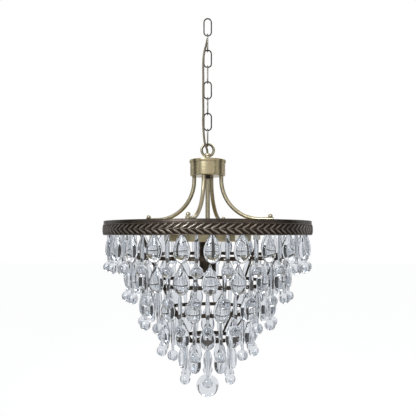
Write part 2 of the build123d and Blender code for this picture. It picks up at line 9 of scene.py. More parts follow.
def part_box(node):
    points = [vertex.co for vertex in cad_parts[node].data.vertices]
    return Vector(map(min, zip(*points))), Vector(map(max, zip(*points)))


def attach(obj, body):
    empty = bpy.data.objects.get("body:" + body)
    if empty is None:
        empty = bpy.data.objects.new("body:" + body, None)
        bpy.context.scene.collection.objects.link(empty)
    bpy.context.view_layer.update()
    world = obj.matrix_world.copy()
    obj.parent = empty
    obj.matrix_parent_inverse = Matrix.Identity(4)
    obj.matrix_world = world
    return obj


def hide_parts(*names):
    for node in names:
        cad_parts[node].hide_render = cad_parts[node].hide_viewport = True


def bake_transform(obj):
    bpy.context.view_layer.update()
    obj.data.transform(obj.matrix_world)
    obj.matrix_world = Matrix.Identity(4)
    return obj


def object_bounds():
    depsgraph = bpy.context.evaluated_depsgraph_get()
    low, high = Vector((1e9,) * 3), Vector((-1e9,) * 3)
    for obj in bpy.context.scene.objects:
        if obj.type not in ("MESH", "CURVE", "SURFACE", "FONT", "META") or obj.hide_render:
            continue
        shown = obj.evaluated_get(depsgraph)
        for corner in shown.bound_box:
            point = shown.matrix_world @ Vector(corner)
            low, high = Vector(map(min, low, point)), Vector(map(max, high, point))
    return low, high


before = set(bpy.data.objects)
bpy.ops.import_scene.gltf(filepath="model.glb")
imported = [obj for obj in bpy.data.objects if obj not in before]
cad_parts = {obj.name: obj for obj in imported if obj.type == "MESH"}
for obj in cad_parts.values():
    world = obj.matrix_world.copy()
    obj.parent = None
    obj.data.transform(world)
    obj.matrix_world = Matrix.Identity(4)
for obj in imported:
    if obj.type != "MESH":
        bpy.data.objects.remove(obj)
cad_low, cad_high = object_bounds()


# ---- chain links -----------------------------------------------------------------------------------------
# Oval links bent from round brass wire and butt-joined on one leg, then dipped dark and rubbed back; the outsides are
# pale, and the near-black of the insides is painted shade over the dark dip. Each hangs in the one above, turned a
# quarter.

class Wire:
    """An output socket of a shader node; sums, differences, products and powers of it add Math nodes."""

    def __init__(self, tree, socket=None):
        self.tree = tree
        self.socket = socket

    def make(self, kind, inputs=None, settings=None, output=0):
        """Adds a node, sets its settings, gives its sockets their values or links, and returns one output."""
        node = self.tree.nodes.new(kind)
        for key, value in (settings or {}).items():
            if key == "stops":
                while len(node.color_ramp.elements) < len(value):
                    node.color_ramp.elements.new(0.5)
                for element, (position, colour) in zip(node.color_ramp.elements, value):
                    element.position = position
                    element.color = (*colour, 1.0)
            else:
                setattr(node, key, value)
        for key, value in (inputs or {}).items():
            if isinstance(value, Wire):
                self.tree.links.new(value.socket, node.inputs[key])
            else:
                node.inputs[key].default_value = value
        return Wire(self.tree, node.outputs[output])

    def math(self, operation, first, second):
        return self.make("ShaderNodeMath", {0: first, 1: second}, {"operation": operation})

    def __add__(self, other):
        return self.math("ADD", self, other)

    def __radd__(self, other):
        return self.math("ADD", other, self)

    def __sub__(self, other):
        return self.math("SUBTRACT", self, other)

    def __rsub__(self, other):
        return self.math("SUBTRACT", other, self)

    def __mul__(self, other):
        return self.math("MULTIPLY", self, other)

    def __rmul__(self, other):
        return self.math("MULTIPLY", other, self)

    def __pow__(self, other):
        return self.math("POWER", self, other)


def place_on_object(wire):
    """Object coordinates, in metres."""
    return wire.make("ShaderNodeTexCoord", output=3)


def grain(wire, scale, detail=3.0, stretch=(1.0, 1.0, 1.0)):
    """Noise from 0 to 1 over the object, stretched along an axis where its scale there is small."""
    mapped = wire.make("ShaderNodeMapping", {"Vector": place_on_object(wire), "Scale": stretch})
    return wire.make("ShaderNodeTexNoise", {"Vector": mapped, "Scale": scale, "Detail": detail})


def blend_colours(wire, share, first, second):
    """A colour between two, by a share from 0 to 1."""
    return wire.make("ShaderNodeMix", {0: share, 6: first, 7: second}, {"data_type": "RGBA"}, output=2)


def surface(name, fixed, changing, relief=None, relief_depth=0.0):
    """A finish: fixed socket values, sockets fed by nodes, and a height for its fine relief in metres."""
    material = bpy.data.materials.new(name)
    material.use_nodes = True
    tree = material.node_tree
    shader = tree.nodes["Principled BSDF"]
    for socket, value in fixed.items():
        shader.inputs[socket].default_value = value
    wire = Wire(tree)
    for socket, make in changing.items():
        tree.links.new(make(wire).socket, shader.inputs[socket])
    if relief:
        bump = wire.make("ShaderNodeBump", {"Height": relief(wire), "Distance": relief_depth, "Strength": 1.0})
        tree.links.new(bump.socket, shader.inputs["Normal"])
    return material


def finish_piece(name, bm, material, body, stands_for=(), smooth_angle=35.0):
    """Turns a bmesh into a piece of the object that rides on a body."""
    bmesh.ops.remove_doubles(bm, verts=bm.verts, dist=1e-6)
    bmesh.ops.recalc_face_normals(bm, faces=bm.faces)
    mesh = bpy.data.meshes.new(name)
    bm.to_mesh(mesh)
    bm.free()
    mesh.materials.append(material)
    mesh.shade_smooth()
    mesh.set_sharp_from_angle(angle=math.radians(smooth_angle))
    piece = bpy.data.objects.new(name, mesh)
    bpy.context.scene.collection.objects.link(piece)
    if body:
        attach(piece, body)
    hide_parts(*stands_for)
    return piece


def wire_ring(bm, radius, centre, normal, sides=12):
    """The edges of a round section, ready to be drawn or turned."""
    turn = Vector((0, 0, 1)).rotation_difference(Vector(normal)).to_matrix().to_4x4()
    place = Matrix.Translation(centre) @ turn
    circle = bmesh.ops.create_circle(bm, segments=sides, radius=radius, matrix=place)
    return list({edge for vert in circle["verts"] for edge in vert.link_edges})


def draw_on(bm, edges, step):
    """Draws a ring of edges out along a straight step and returns the ring at its end."""
    out = bmesh.ops.extrude_edge_only(bm, edges=edges)["geom"]
    bmesh.ops.translate(bm, verts=[v for v in out if isinstance(v, bmesh.types.BMVert)], vec=step)
    return [e for e in out if isinstance(e, bmesh.types.BMEdge)]


def turn_on(bm, edges, centre, axis, degrees, steps):
    """Bends a ring of edges round an axis and returns the ring at its end."""
    verts = list({v for e in edges for v in e.verts})
    out = bmesh.ops.spin(bm, geom=verts + edges, cent=centre, axis=axis, angle=math.radians(degrees),
                         steps=steps, use_merge=False, use_duplicate=False)
    return [e for e in out["geom_last"] if isinstance(e, bmesh.types.BMEdge)]


link_wire = 0.0030


def wear_and_shade_share(wire):
    """How far a place stands out: the more, the more dark dip is rubbed away, and on the chain and loop the less
    painted shade.
    """
    return wire.make("ShaderNodeAttribute", settings={"attribute_name": "worn"}, output=2)


def make_rubbed_and_shaded(name, dark, pale, power=1.5):
    """A dark dip rubbed back to pale metal where the piece stands out; on the chain and loop the dark insides are
    painted shade.
    """
    return surface(
        name,
        {"Metallic": 1.0},
        {
            "Base Color": lambda w: blend_colours(
                w, (wear_and_shade_share(w) * (0.50 + 0.8 * grain(w, 120.0))) ** power, (*dark, 1), (*pale, 1)),
            "Roughness": lambda w: 0.38 - 0.16 * wear_and_shade_share(w) + 0.1 * grain(w, 300.0),
        },
        lambda w: grain(w, 1300.0), 0.00005)


chain_brass = make_rubbed_and_shaded("chain_brass", (0.004, 0.0035, 0.003), (0.36, 0.34, 0.29))

for number in range(1, 9):
    low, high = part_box(f"chain_link_{number}")
    middle = (low + high) / 2
    across = Vector((1, 0, 0)) if number % 2 else Vector((0, 1, 0))
    facing = Vector((0, -1, 0)) if number % 2 else Vector((1, 0, 0))
    bend = max(high.x - low.x, high.y - low.y) / 2 - link_wire / 2
    leg = (high.z - low.z) / 2 - link_wire / 2 - bend
    bm = bmesh.new()
    ring = wire_ring(bm, link_wire / 2, middle + across * bend + Vector((0, 0, -leg)), (0, 0, 1))
    ring = draw_on(bm, ring, (0, 0, 2 * leg))
    ring = turn_on(bm, ring, middle + Vector((0, 0, leg)), facing, 180, 14)
    ring = draw_on(bm, ring, (0, 0, -2 * leg))
    turn_on(bm, ring, middle + Vector((0, 0, -leg)), facing, 180, 14)
    # Pale where the wire faces out of the link, near black on its insides: rubbed metal outside, painted shade
    # inside.
    worn = bm.verts.layers.float.new("worn")
    for vert in bm.verts:
        place = vert.co - middle
        past_leg = max(0.0, abs(place.z) - leg)
        outward = (math.hypot(place.dot(across), past_leg) - bend) / (link_wire / 2)
        vert[worn] = min(1.0, max(0.0, 0.22 + 0.50 * outward))
    finish_piece(f"chain_link_{number}_wire", bm, chain_brass, f"link_{number}",
                 [f"chain_link_{number}"])


# ---- suspension loop -------------------------------------------------------------------------------------
# A cast brass ring with a domed hub, screwed down on the lid of the cap. Cast in one piece, brushed and lacquered;
# the cord comes up through its bore.

def circle_arc(centre_r, centre_z, radius, first, last, steps):
    """Points of an arc in the (radius, level) plane, by angles in degrees from outwards towards up."""
    angles = [math.radians(first + (last - first) * i / steps) for i in range(steps + 1)]
    return [(centre_r + radius * math.cos(a), centre_z + radius * math.sin(a)) for a in angles]


def turned_shape(bm, outline, steps=96, closed=False):
    """Spins an outline of (radius, level) points round the vertical axis."""
    verts = [bm.verts.new((r, 0, z)) for r, z in outline]
    pairs = list(zip(verts, verts[1:])) + ([(verts[-1], verts[0])] if closed else [])
    edges = [bm.edges.new(pair) for pair in pairs]
    bmesh.ops.spin(bm, geom=verts + edges, cent=(0, 0, 0), axis=(0, 0, 1), angle=math.tau,
                   steps=steps, use_merge=True, use_duplicate=False)
    bmesh.ops.remove_doubles(bm, verts=bm.verts, dist=1e-7)


loop_wire = 0.0060
loop_low, loop_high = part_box("suspension_loop")
lid_low, lid_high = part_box("cap_lid")
loop_outer = (loop_high.x - loop_low.x) / 2
loop_centre = loop_high.z - loop_outer
hub_radius = (loop_high.y - loop_low.y) / 2
ring_sunk = 0.0034
hub_height = 0.0070
hub_foot = loop_high.z - 2 * loop_outer + ring_sunk
hub_top = hub_foot + hub_height
neck_radius = 0.0055
collar_width = 0.0009
collar_height = 0.0012
spigot_radius = 0.0050
spigot_length = 0.0120
cord_bore = 0.0027
hub_round = 0.0042

bm = bmesh.new()
wire_section = wire_ring(bm, loop_wire / 2, (loop_outer - loop_wire / 2, 0, loop_centre), (0, 0, 1), 20)
turn_on(bm, wire_section, (0, 0, loop_centre), (0, 1, 0), 360, 72)
# Pale on the ring's outer side, dark on its inside: rubbed metal outside, painted shade inside, as on the chain.
worn = bm.verts.layers.float.new("worn")
for vert in bm.verts:
    outward = (math.hypot(vert.co.x, vert.co.z - loop_centre) - (loop_outer - loop_wire / 2)) / (loop_wire / 2)
    vert[worn] = min(1.0, max(0.0, 0.45 + 0.65 * outward))
ring_verts = set(bm.verts)
collar_top = lid_high.z + collar_height
hub = [(cord_bore, lid_high.z - spigot_length), (spigot_radius, lid_high.z - spigot_length)]
hub += [(spigot_radius, lid_high.z), (neck_radius + collar_width, lid_high.z)]
hub += [(neck_radius + collar_width, collar_top), (neck_radius, collar_top + 0.0008)]
hub += [(neck_radius, hub_foot + 0.0004), (hub_radius - 0.001, hub_foot + 0.0012)]
hub += circle_arc(hub_radius - hub_round, hub_top - hub_round, hub_round, -10, 90, 10)
hub += [(cord_bore + 0.0004, hub_top), (cord_bore, hub_top - 0.0004)]
turned_shape(bm, hub, 48, closed=True)
# The hub's dome is pale and the neck and spigot below it darker, which is painted shade under the dome.
for vert in bm.verts:
    if vert not in ring_verts:
        vert[worn] = 0.95 if vert.co.z > hub_foot else 0.45
loop_brass = make_rubbed_and_shaded("loop_brass", (0.030, 0.022, 0.010), (0.66, 0.60, 0.44), 1.2)
finish_piece("suspension_loop_casting", bm, loop_brass, "fixture", ["suspension_loop"])


# ---- supply cord -----------------------------------------------------------------------------------------
# A round two-core cord in a soft tan jacket. It comes up out of the hub and is laced beside the chain, which carries
# it all the way, cut into stretches of the one jacket that each run across one joint of the chain.

cord_radius = 0.0024
cord_route = [
    (0.0, 0.0, 0.0074), (0.0, 0.0, 0.0209), (-0.0066, -0.0070, 0.0347), (-0.0089, -0.0066, 0.0585),
    (-0.0104, -0.0056, 0.0830), (-0.0093, -0.0052, 0.1090), (-0.0101, -0.0055, 0.1420), (-0.0095, -0.0051, 0.1780),
    (-0.0100, -0.0053, 0.2040), (-0.0094, -0.0055, 0.2240), (-0.0067, -0.0051, 0.2410), (-0.0026, -0.0026, 0.2550),
    (-0.0005, -0.0001, 0.2675),
]

cord_jacket = surface(
    "cord_jacket",
    {"Metallic": 0.0, "IOR": 1.46},
    {
        "Base Color": lambda w: blend_colours(
            w, grain(w, 160.0, 4.0, (1, 1, 0.25)), (0.115, 0.088, 0.052, 1), (0.235, 0.19, 0.125, 1)),
        "Roughness": lambda w: 0.30 + 0.22 * grain(w, 300.0),
    },
    lambda w: grain(w, 900.0, 2.0, (1, 1, 0.2)), 0.00008)

route = bpy.data.curves.new("cord_route", "CURVE")
route.dimensions = "3D"
spline = route.splines.new("NURBS")
spline.points.add(len(cord_route) - 1)
for point, (x, y, lift) in zip(spline.points, cord_route):
    point.co = (x, y, lid_high.z + lift, 1.0)
spline.order_u = 3
spline.use_endpoint_u = True
spline.resolution_u = 8
route.bevel_depth = cord_radius
route.bevel_resolution = 4
route.use_fill_caps = True
route_object = bpy.data.objects.new("cord_route", route)
bpy.context.scene.collection.objects.link(route_object)
bpy.context.view_layer.update()
jacket = bpy.data.meshes.new_from_object(route_object.evaluated_get(bpy.context.evaluated_depsgraph_get()))
bpy.data.objects.remove(route_object)


def everything(bm):
    return bm.verts[:] + bm.edges[:] + bm.faces[:]


def close_ends(bm):
    bmesh.ops.holes_fill(bm, edges=[e for e in bm.edges if e.is_boundary], sides=0)


link_middles = {}
for number in range(2, 9):
    low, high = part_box(f"chain_link_{number}")
    link_middles[number] = Vector((0, 0, (low.z + high.z) / 2))

for number in range(2, 9):
    is_last = number == 8
    start = link_middles[number]
    end = Vector((0, 0, hub_top)) if is_last else link_middles[number + 1]
    bm = bmesh.new()
    bm.from_mesh(jacket)
    if number > 2:
        bmesh.ops.bisect_plane(bm, geom=everything(bm), plane_co=start, plane_no=(0, 0, 1), clear_outer=True)
    if not is_last:
        bmesh.ops.bisect_plane(bm, geom=everything(bm), plane_co=end, plane_no=(0, 0, 1), clear_inner=True)
    close_ends(bm)
    name = f"supply_cord_{number - 1}"
    stretch = finish_piece(name, bm, cord_jacket, None, ["supply_cord"])
    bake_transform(stretch)

# Two bare copper cores stand out of the jacket's upper end.
copper = surface(
    "copper_core", {"Metallic": 1.0},
    {"Base Color": lambda w: blend_colours(w, grain(w, 400.0), (0.55, 0.27, 0.14, 1), (0.75, 0.42, 0.25, 1)),
     "Roughness": lambda w: 0.25 + 0.15 * grain(w, 900.0)})
core_radius = 0.0005
core_spacing = 0.0010
core_length = 0.0022
bm = bmesh.new()
end_x, end_y, end_lift = cord_route[-1]
core_foot = Vector((end_x, end_y, lid_high.z + end_lift - 0.0010))
for side in (-1, 1):
    core = wire_ring(bm, core_radius, core_foot + Vector((side * core_spacing, 0, 0)), (0, 0, 1), 8)
    draw_on(bm, core, (side * core_spacing / 5, 0, core_length))
close_ends(bm)
finish_piece("cord_cores", bm, copper, "link_2")


# ---- cap -------------------------------------------------------------------------------------------------
# A spun brass cup with a flat lid whose rolled skirt overhangs it. Both are brushed round the axis on the lathe and
# lacquered; the cup's floor is pierced for the stem and the arms.

def make_aged_brass(name, base, dark, brushed=(1.0, 1.0, 1.0)):
    """Brass dipped dark and rubbed back, with patches of both and fine brushing."""
    return surface(
        name,
        {"Metallic": 1.0, "Coat Weight": 0.0},
        {
            "Base Color": lambda w: blend_colours(
                w, (grain(w, 90.0) * 0.6 + grain(w, 700.0, 2.0, brushed) * 0.5) ** 1.6, (*dark, 1), (*base, 1)),
            "Roughness": lambda w: 0.20 + 0.22 * grain(w, 260.0, 3.0, brushed),
        },
        lambda w: grain(w, 1500.0, 2.0, brushed), 0.00006)


spun_brass = make_aged_brass("spun_brass", (0.50, 0.44, 0.28), (0.34, 0.28, 0.17), (0.06, 0.06, 1.0))
shell_low, shell_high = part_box("cap_shell")
lid_radius = (lid_high.x - lid_low.x) / 2
shell_radius = (shell_high.x - shell_low.x) / 2
lid_sheet = 0.0015
lid_bore = 0.0052
skirt_inside = shell_radius + 0.0003
skirt_edge = 0.0004

bm = bmesh.new()
outline = [(lid_bore, lid_high.z - lid_sheet), (lid_bore, lid_high.z)]
outline += circle_arc(lid_radius - lid_sheet, lid_high.z - lid_sheet, lid_sheet, 90, 0, 8)
outline += [(lid_radius, lid_low.z + 2 * skirt_edge), (lid_radius - skirt_edge, lid_low.z)]
outline += [(skirt_inside, lid_low.z), (skirt_inside, lid_high.z - lid_sheet)]
turned_shape(bm, outline, 128, closed=True)
finish_piece("cap_lid_spun", bm, spun_brass, "fixture", ["cap_lid"])

cup_wall = 0.0012
cup_floor = 0.0015
foot_radius = 0.0020
stem_hole = 0.0051
bm = bmesh.new()
outline = [(stem_hole, shell_low.z)]
outline += circle_arc(shell_radius - foot_radius, shell_low.z + foot_radius, foot_radius, -90, 0, 8)
outline += [(shell_radius, shell_high.z), (shell_radius - cup_wall, shell_high.z)]
outline += [(shell_radius - cup_wall, shell_low.z + cup_floor), (stem_hole, shell_low.z + cup_floor)]
turned_shape(bm, outline, 128, closed=True)
finish_piece("cap_shell_spun", bm, spun_brass, "fixture", ["cap_shell"])


# ---- fittings inside the cap and on the stem -------------------------------------------------------------
# Zinc-plated steel nuts and screws, orange screw-on connectors and white-jacketed leads, bought in. All are hidden,
# apart from the screw heads under the spokes.

zinc = surface(
    "zinc_plate", {"Metallic": 1.0},
    {"Base Color": lambda w: blend_colours(w, grain(w, 120.0), (0.42, 0.43, 0.45, 1), (0.66, 0.67, 0.70, 1)),
     "Roughness": lambda w: 0.28 + 0.2 * grain(w, 400.0)})
connector_shell = surface(
    "connector_shell", {},
    {"Base Color": lambda w: blend_colours(w, grain(w, 200.0), (0.62, 0.24, 0.05, 1), (0.78, 0.34, 0.08, 1)),
     "Roughness": lambda w: 0.45 + 0.1 * grain(w, 500.0)})
lead_jacket = surface(
    "lead_jacket", {},
    {"Base Color": lambda w: blend_colours(w, grain(w, 200.0), (0.66, 0.64, 0.58, 1), (0.80, 0.78, 0.72, 1)),
     "Roughness": lambda w: 0.4 + 0.1 * grain(w, 500.0)})
black_ring = surface(
    "black_ring", {"Metallic": 0.3},
    {"Base Color": lambda w: blend_colours(
        w, grain(w, 300.0), (0.008, 0.008, 0.008, 1), (0.022, 0.020, 0.018, 1)),
     "Roughness": lambda w: 0.32 + 0.2 * grain(w, 600.0)})
for material, nodes in (
        (zinc, ["coupling_nut", "arm_nuts", "arm_screws", "stem_nut"]),
        (connector_shell, ["wire_connectors"]),
        (lead_jacket, ["lamp_leads"]),
        (black_ring, ["stem_lock_ring"])):
    for node in nodes:
        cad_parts[node].material_slots[0].material = material


# ---- stem and arms ---------------------------------------------------------------------------------------
# Brass tube: a straight stem that carries the pan, and four arms bent in one sweep from the cap down and out to the
# spokes, each held by a screw and an acorn nut. Polished along their length and darkened.

tube_brass = make_aged_brass("tube_brass", (0.52, 0.47, 0.34), (0.24, 0.20, 0.12), (1.0, 1.0, 0.12))


def point_at(bearing, radius, level):
    """A point by its bearing in degrees, from the front towards the right."""
    angle = math.radians(bearing)
    return Vector((radius * math.sin(angle), -radius * math.cos(angle), level))


def turn_to(bm, bearing, verts=None):
    """Turns what was made along +X to a bearing."""
    bmesh.ops.rotate(bm, verts=verts or bm.verts, cent=(0, 0, 0),
                     matrix=Matrix.Rotation(math.radians(bearing - 90), 3, "Z"))


def repeat_around(bm, count, first_bearing):
    """Copies all that was made along +X to evenly spaced bearings."""
    whole = everything(bm)
    for i in range(1, count):
        copy = bmesh.ops.duplicate(bm, geom=whole)["geom"]
        copied = [v for v in copy if isinstance(v, bmesh.types.BMVert)]
        bmesh.ops.rotate(bm, verts=copied, cent=(0, 0, 0), matrix=Matrix.Rotation(math.tau * i / count, 3, "Z"))
    turn_to(bm, first_bearing)


stem_low, stem_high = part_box("center_stem")
stem_radius = (stem_high.x - stem_low.x) / 2
stem_bore = 0.0030
bm = bmesh.new()
outline = [(stem_bore, stem_low.z), (stem_radius, stem_low.z), (stem_radius, stem_high.z)]
outline += [(stem_bore, stem_high.z)]
turned_shape(bm, outline, 40, closed=True)
finish_piece("stem_tube", bm, tube_brass, "fixture", ["center_stem"])

arm_bearing = 74.0
arm_radius = 0.0045
arm_start = 0.031
arm_bend = 0.088
arm_end = 0.146
arm_end_round = 0.0010
screw_radius = 0.1395
cast_brass = make_aged_brass("cast_brass", (0.62, 0.57, 0.43), (0.22, 0.18, 0.11))
arm_names = ["arm_right", "arm_back", "arm_left", "arm_front"]
arm_low, arm_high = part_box("arm_right")
arm_level = arm_low.z + arm_radius
for i, name in enumerate(arm_names):
    bm = bmesh.new()
    ring = wire_ring(bm, arm_radius, (arm_start, 0, arm_high.z), (0, 0, -1), 24)
    ring = draw_on(bm, ring, (0, 0, arm_level + arm_bend - arm_high.z))
    ring = turn_on(bm, ring, (arm_start + arm_bend, 0, arm_level + arm_bend), (0, -1, 0), 90, 28)
    ring = draw_on(bm, ring, (arm_end - arm_start - arm_bend - arm_end_round, 0, 0))
    ring = draw_on(bm, ring, (arm_end_round, 0, 0))
    tip_verts = list({v for e in ring for v in e.verts})
    to_tip = Matrix.Translation((-arm_end, 0, -arm_level))
    bmesh.ops.scale(bm, verts=tip_verts, vec=(1, 0.8, 0.8), space=to_tip)
    close_ends(bm)
    turn_to(bm, arm_bearing + 90 * i)
    finish_piece(f"{name}_tube", bm, tube_brass, "fixture", [name])

acorn_low, acorn_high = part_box("acorn_nuts")
acorn_radius = 0.0048
skirt_top = acorn_high.z - acorn_radius
bm = bmesh.new()
outline = [(0.0, acorn_low.z), (acorn_radius * 0.92, acorn_low.z), (acorn_radius, acorn_low.z + 0.0005)]
outline += [(acorn_radius, skirt_top)] + circle_arc(0, skirt_top, acorn_radius, 0, 90, 8)
turned_shape(bm, outline, 24)
bmesh.ops.translate(bm, verts=bm.verts, vec=(screw_radius, 0, 0))
repeat_around(bm, 4, arm_bearing)
finish_piece("acorn_nut_domes", bm, cast_brass, "fixture", ["acorn_nuts"])


# ---- rim band --------------------------------------------------------------------------------------------
# Thin sheet pressed between rolls into a bulged band: a plain strip above, and below it a run of paired leaves on a
# middle rib, between two beads. Plated dark bronze, then rubbed so that the raised parts show pale metal.

rim_low, rim_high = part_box("rim_band")
rim_radius = max(rim_high.x - rim_low.x, rim_high.y - rim_low.y) / 2
rim_sheet = 0.0016
rim_crown = 0.0016
strip_setback = 0.0009
strip_foot = rim_high.z - 0.0070
leaf_count = 100
leaf_steps = 16
relief_depth = 0.0010
bead_place = 0.93
leaf_reach = 0.86
leaf_slant = 1.25
leaf_width = 0.25


def relief_height(turns, across):
    """Height of the pressed pattern from 0 to 1: turns counts leaves round the band, across runs from -1 to 1."""
    side = abs(across)
    bead = math.exp(-((side - bead_place) / 0.05) ** 2)
    rib = math.exp(-(side / 0.06) ** 2)
    if side > leaf_reach:
        return 0.8 * bead
    along = (turns + leaf_slant * side) % 1.0
    width = leaf_width * math.sin(math.pi * (side / leaf_reach) ** 0.8) ** 0.7 + 0.015
    from_vein = abs(along - 0.5) / width
    leaf = max(0.0, 1 - from_vein**2) ** 0.5
    vein = 0.3 * math.exp(-(from_vein / 0.2) ** 2)
    return max(0.7 * rib, leaf - vein, 0.8 * bead)


def bulge(level):
    """Radius of the band's face at a level, before the pattern is raised on it."""
    share = (level - rim_low.z) / (strip_foot - rim_low.z)
    return rim_radius - relief_depth - rim_crown * (2 * share - 1) ** 2


bm = bmesh.new()
face_levels = [rim_low.z + (strip_foot - rim_low.z) * i / 26 for i in range(27)]
outline = [(bulge(level), level) for level in face_levels]
strip_radius = rim_radius - rim_crown - strip_setback
outline += [(strip_radius, strip_foot + 0.0003), (strip_radius, rim_high.z - 0.0003)]
outline += [(strip_radius - 0.0004, rim_high.z), (strip_radius - rim_sheet, rim_high.z)]
outline += [(strip_radius - rim_sheet, strip_foot)]
outline += [(bulge(level) - rim_sheet, level) for level in (strip_foot - 0.002, rim_low.z + 0.011, rim_low.z)]
turned_shape(bm, outline, leaf_count * leaf_steps, closed=True)
worn = bm.verts.layers.float.new("worn")
for vert in bm.verts:
    radius = math.hypot(vert.co.x, vert.co.y)
    raised = 0.0
    if vert.co.z < strip_foot + 0.0001 and radius > bulge(vert.co.z) - 0.0003:
        turns = -math.atan2(vert.co.x, -vert.co.y) / math.tau * leaf_count
        raised = relief_height(turns, 2 * (vert.co.z - rim_low.z) / (strip_foot - rim_low.z) - 1)
        grown = (radius + relief_depth * raised) / radius
        vert.co.x *= grown
        vert.co.y *= grown
    elif radius > strip_radius - 0.0002:
        raised = 0.35
    vert[worn] = raised

rim_bronze = make_rubbed_and_shaded("rim_bronze", (0.028, 0.019, 0.015), (0.38, 0.34, 0.28), 2.2)
finish_piece("rim_band_pressed", bm, rim_bronze, "fixture", ["rim_band"], 70.0)


# ---- spokes, hoops, straps and foot frame ----------------------------------------------------------------
# Flat steel strip, rolled into hoops and cut into spokes and straps, brazed where they touch. Plated dark bronze with
# the rim. The hoops are pierced for the hooks.

strip_bronze = surface(
    "strip_bronze",
    {"Metallic": 1.0},
    {
        "Base Color": lambda w: blend_colours(
            w, grain(w, 60.0, 4.0) ** 2.0, (0.030, 0.022, 0.016, 1), (0.135, 0.105, 0.075, 1)),
        "Roughness": lambda w: 0.34 + 0.18 * grain(w, 240.0),
    },
    lambda w: grain(w, 900.0), 0.00005)


def smooth_copy(node, name, material, angle=30.0):
    """A merged and smoothly shaded copy of a CAD node, which it replaces."""
    bm = bmesh.new()
    bm.from_mesh(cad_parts[node].data)
    return finish_piece(name, bm, material, "fixture", [node], angle)


strip_nodes = ["rim_spokes", "straps", "foot_spider", "foot_eye", "centre_rod"]
for node in strip_nodes + [f"hoop_{i}" for i in range(1, 6)]:
    smooth_copy(node, f"{node}_plated", strip_bronze)


# ---- pan and column --------------------------------------------------------------------------------------
# A shallow spun brass pan, closed by a disc, which holds the leads' joints. Below it a turned bronze cup screws on
# the stem and carries the rod.

pan_low, pan_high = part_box("hub_pan")
pan_radius = (pan_high.x - pan_low.x) / 2
pan_sheet = 0.0012
pan_edge = 0.0040
lip_round = 0.0004
bm = bmesh.new()
edge_centre = (pan_radius - pan_edge, pan_low.z + pan_edge)
outline = [(stem_hole, pan_low.z)] + circle_arc(*edge_centre, pan_edge, -90, 0, 10)
outline += [(pan_radius, pan_high.z - lip_round), (pan_radius - lip_round, pan_high.z)]
outline += [(pan_radius - pan_sheet, pan_high.z), (pan_radius - pan_sheet, pan_low.z + pan_edge)]
outline += circle_arc(*edge_centre, pan_edge - pan_sheet, 0, -90, 6)
outline += [(stem_hole, pan_low.z + pan_sheet)]
turned_shape(bm, outline, 160, closed=True)
finish_piece("hub_pan_spun", bm, spun_brass, "fixture", ["hub_pan"])
smooth_copy("pan_cover", "pan_cover_disc", spun_brass)

column_low, column_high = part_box("centre_column")
column_radius = (column_high.x - column_low.x) / 2
column_wall = 0.0015
column_foot = 0.0030
rod_hole = 0.0021
ring_depth = 0.0006
bm = bmesh.new()
outline = [(rod_hole, column_low.z)]
outline += circle_arc(column_radius - column_foot, column_low.z + column_foot, column_foot, -90, 0, 8)
for share in (0.12, 0.80):
    ring_level = column_low.z + (column_high.z - column_low.z) * share
    outline += [(column_radius, ring_level - 0.0012), (column_radius - ring_depth, ring_level - 0.0008)]
    outline += [(column_radius - ring_depth, ring_level + 0.0008), (column_radius, ring_level + 0.0012)]
outline += [(column_radius, column_high.z), (column_radius - column_wall, column_high.z)]
outline += [(column_radius - column_wall, column_low.z + column_foot), (rod_hole, column_low.z + column_foot)]
turned_shape(bm, outline, 72, closed=True)
finish_piece("centre_column_turned", bm, strip_bronze, "fixture", ["centre_column"])


# ---- lampholders -----------------------------------------------------------------------------------------
# Four candle-size holders, moulded in cream plastic with a brass screw shell inside, open downwards. Each is gripped
# by a collar brazed to a short brass side tube from the pan.

cream_plastic = surface(
    "cream_plastic",
    {"IOR": 1.49},
    {
        "Base Color": lambda w: blend_colours(
            w, grain(w, 70.0, 4.0), (0.74, 0.71, 0.60, 1), (0.86, 0.84, 0.76, 1)),
        "Roughness": lambda w: 0.32 + 0.12 * grain(w, 400.0),
    },
    lambda w: grain(w, 1100.0), 0.00003)
yellow_band = surface(
    "yellow_band",
    {"IOR": 1.49},
    {"Base Color": lambda w: blend_colours(w, grain(w, 150.0), (0.62, 0.42, 0.06, 1), (0.80, 0.58, 0.12, 1)),
     "Roughness": lambda w: 0.35 + 0.1 * grain(w, 500.0)})
shell_brass = surface(
    "shell_brass",
    {"Metallic": 1.0},
    {"Base Color": lambda w: blend_colours(w, grain(w, 150.0), (0.60, 0.40, 0.14, 1), (0.80, 0.60, 0.28, 1)),
     "Roughness": lambda w: 0.22 + 0.15 * grain(w, 600.0)})

holder_radius = 0.0085
holder_bore = 0.00685
lamp_radius = 0.130
lamp_bearing = 29.0
lip = 0.0020
shell_length = 0.0220
mouth_edge = 0.0005
bore_edge = 0.0004
groove_depth = 0.0004
groove_side = 0.0003
groove_foot = 0.0050
groove_width = 0.0011
for i in range(4):
    low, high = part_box(f"lampholder_{i + 1}")
    deck = low.z + lip + shell_length
    groove = low.z + groove_foot
    bm = bmesh.new()
    outline = [(0.0, deck), (holder_bore, deck), (holder_bore, low.z + bore_edge)]
    outline += [(holder_bore + bore_edge, low.z), (holder_radius - mouth_edge, low.z)]
    outline += [(holder_radius, low.z + mouth_edge), (holder_radius, groove)]
    outline += [(holder_radius - groove_depth, groove + groove_side)]
    outline += [(holder_radius - groove_depth, groove + groove_width - groove_side)]
    outline += [(holder_radius, groove + groove_width), (holder_radius, high.z - lip)]
    outline += circle_arc(holder_radius - lip, high.z - lip, lip, 10, 90, 6) + [(0.0, high.z)]
    turned_shape(bm, outline, 40)
    bmesh.ops.translate(bm, verts=bm.verts, vec=point_at(lamp_bearing + 90 * i, lamp_radius, 0))
    node = f"lampholder_{i + 1}"
    finish_piece(f"lampholder_body_{i + 1}", bm, cream_plastic, "fixture", [node])

